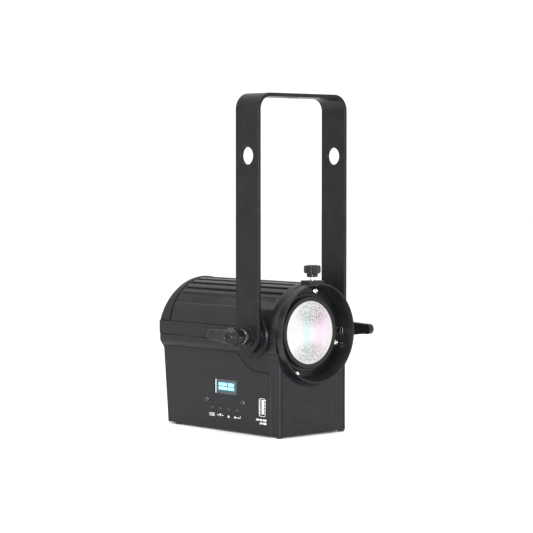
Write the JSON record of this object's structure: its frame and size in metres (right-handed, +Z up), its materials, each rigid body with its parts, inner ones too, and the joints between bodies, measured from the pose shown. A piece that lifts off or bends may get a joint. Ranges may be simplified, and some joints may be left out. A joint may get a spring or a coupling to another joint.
{
  "type": "stage spotlight",
  "caption": "Compact hanging LED spot with a grooved round-topped housing, a tilting yoke with two clamp levers, a collared front lens and a side display panel.",
  "frame": {"origin": "bottom centre of the lamp's bounding box, between the feet", "axes": "+Z up along the yoke, -Y is where the lens points, -X is the side with the display"},
  "size_m": [0.138, 0.1526, 0.2697],
  "materials": {
    "black_paint": "satin black powder coat on die-cast aluminium",
    "yoke_paint": "satin black powder coat on steel bar",
    "black_plastic": "moulded, slightly glossy",
    "white_plastic": "moulded",
    "rubber": "matt",
    "bright_steel": "bright plated",
    "dark_steel": "blackened",
    "aluminium": "bare, satin",
    "lens_glass": "frosted and faintly tinted",
    "clear_window": "clear",
    "screen": "lit cyan display",
    "led_phosphor": "phosphor under a clear dome",
    "circuit_board": "solder resist"
  },
  "bodies": {
    "housing": {"lower_housing": "black_paint", "base_plate": "black_paint", "foot_front_left": "rubber", "foot_rear_left": "rubber", "foot_front_right": "rubber", "foot_rear_right": "rubber", "top_shell": "black_paint", "side_rail_left": "black_paint", "side_rail_right": "black_paint", "rear_cover": "black_paint", "dmx_in": "dark_steel", "dmx_out": "dark_steel", "mains_inlet": "black_plastic", "fuse_holder": "black_plastic", "front_collar": "black_paint", "lens_plate": "black_paint", "lens_plate_screw_1": "bright_steel", "lens_plate_screw_2": "bright_steel", "lens_plate_screw_3": "bright_steel", "lens_plate_screw_4": "bright_steel", "lens_retainer": "black_paint", "front_lens": "lens_glass", "light_tube": "aluminium", "led_emitter": "led_phosphor", "led_board": "aluminium", "heat_sink": "aluminium", "fan_frame": "black_plastic", "power_supply": "circuit_board", "control_board": "circuit_board", "display_window": "clear_window", "display_module": "screen", "usb_shell": "bright_steel", "usb_tongue": "white_plastic", "side_panel_screw_1": "dark_steel", "side_panel_screw_2": "dark_steel", "yoke_spacer_left": "rubber", "yoke_spacer_right": "rubber", "pivot_stud_left": "bright_steel", "pivot_stud_right": "bright_steel"},
    "yoke": {"yoke": "yoke_paint", "yoke_washer_left": "bright_steel", "yoke_washer_right": "bright_steel"},
    "clamp_insert_left": {"clamp_insert_left": "dark_steel"},
    "clamp_lever_left": {"clamp_lever_left": "black_plastic", "lever_screw_left": "bright_steel"},
    "clamp_insert_right": {"clamp_insert_right": "dark_steel"},
    "clamp_lever_right": {"clamp_lever_right": "black_plastic", "lever_screw_right": "bright_steel"},
    "thumbscrew_collar": {"thumbscrew_collar": "black_plastic"},
    "thumbscrew": {"thumbscrew_knob": "black_plastic", "thumbscrew_stud": "bright_steel"},
    "fan_rotor": {"fan_rotor": "black_plastic"},
    "menu_button_1": {"menu_button_1": "black_plastic"},
    "menu_button_2": {"menu_button_2": "black_plastic"},
    "menu_button_3": {"menu_button_3": "black_plastic"},
    "menu_button_4": {"menu_button_4": "black_plastic"}
  },
  "joints": [
    {"name": "yoke_tilt", "type": "hinge", "parent": "housing", "child": "yoke", "pos_m": [0, -0.04538, 0.0796], "axis": [1, 0, 0], "continuous": true},
    {"name": "lever_left_turn", "type": "hinge", "parent": "housing", "child": "clamp_insert_left", "pos_m": [-0.052, -0.04538, 0.0796], "axis": [-1, 0, 0], "range_deg": [0, 270]},
    {"name": "lever_left_lift", "type": "slide", "parent": "clamp_insert_left", "child": "clamp_lever_left", "axis": [-1, 0, 0], "range_m": [0, 0.004], "stiffness_N_per_m": 500, "springref_m": -0.001},
    {"name": "lever_right_turn", "type": "hinge", "parent": "housing", "child": "clamp_insert_right", "pos_m": [0.052, -0.04538, 0.0796], "axis": [1, 0, 0], "range_deg": [0, 270]},
    {"name": "lever_right_lift", "type": "slide", "parent": "clamp_insert_right", "child": "clamp_lever_right", "axis": [1, 0, 0], "range_m": [0, 0.004], "stiffness_N_per_m": 500, "springref_m": -0.001},
    {"name": "thumbscrew_rise", "type": "slide", "parent": "housing", "child": "thumbscrew_collar", "axis": [0, 0, 1], "range_m": [0, 0.0021]},
    {"name": "thumbscrew_turn", "type": "hinge", "parent": "thumbscrew_collar", "child": "thumbscrew", "pos_m": [0, -0.06888, 0.1276], "axis": [0, 0, 1], "range_deg": [0, 1080.2]},
    {"name": "menu_button_1_press", "type": "slide", "parent": "housing", "child": "menu_button_1", "axis": [1, 0, 0], "range_m": [0, 0.0005], "stiffness_N_per_m": 600, "springref_m": -0.0005},
    {"name": "menu_button_2_press", "type": "slide", "parent": "housing", "child": "menu_button_2", "axis": [1, 0, 0], "range_m": [0, 0.0005], "stiffness_N_per_m": 600, "springref_m": -0.0005},
    {"name": "menu_button_3_press", "type": "slide", "parent": "housing", "child": "menu_button_3", "axis": [1, 0, 0], "range_m": [0, 0.0005], "stiffness_N_per_m": 600, "springref_m": -0.0005},
    {"name": "menu_button_4_press", "type": "slide", "parent": "housing", "child": "menu_button_4", "axis": [1, 0, 0], "range_m": [0, 0.0005], "stiffness_N_per_m": 600, "springref_m": -0.0005},
    {"name": "fan_spin", "type": "hinge", "parent": "housing", "child": "fan_rotor", "pos_m": [0, 0.03822, 0.0812], "axis": [0, 1, 0], "continuous": true}
  ],
  "couplings": [
    {"joint": "thumbscrew_turn", "follows": "thumbscrew_rise", "rad_per_m": 8976}
  ]
}
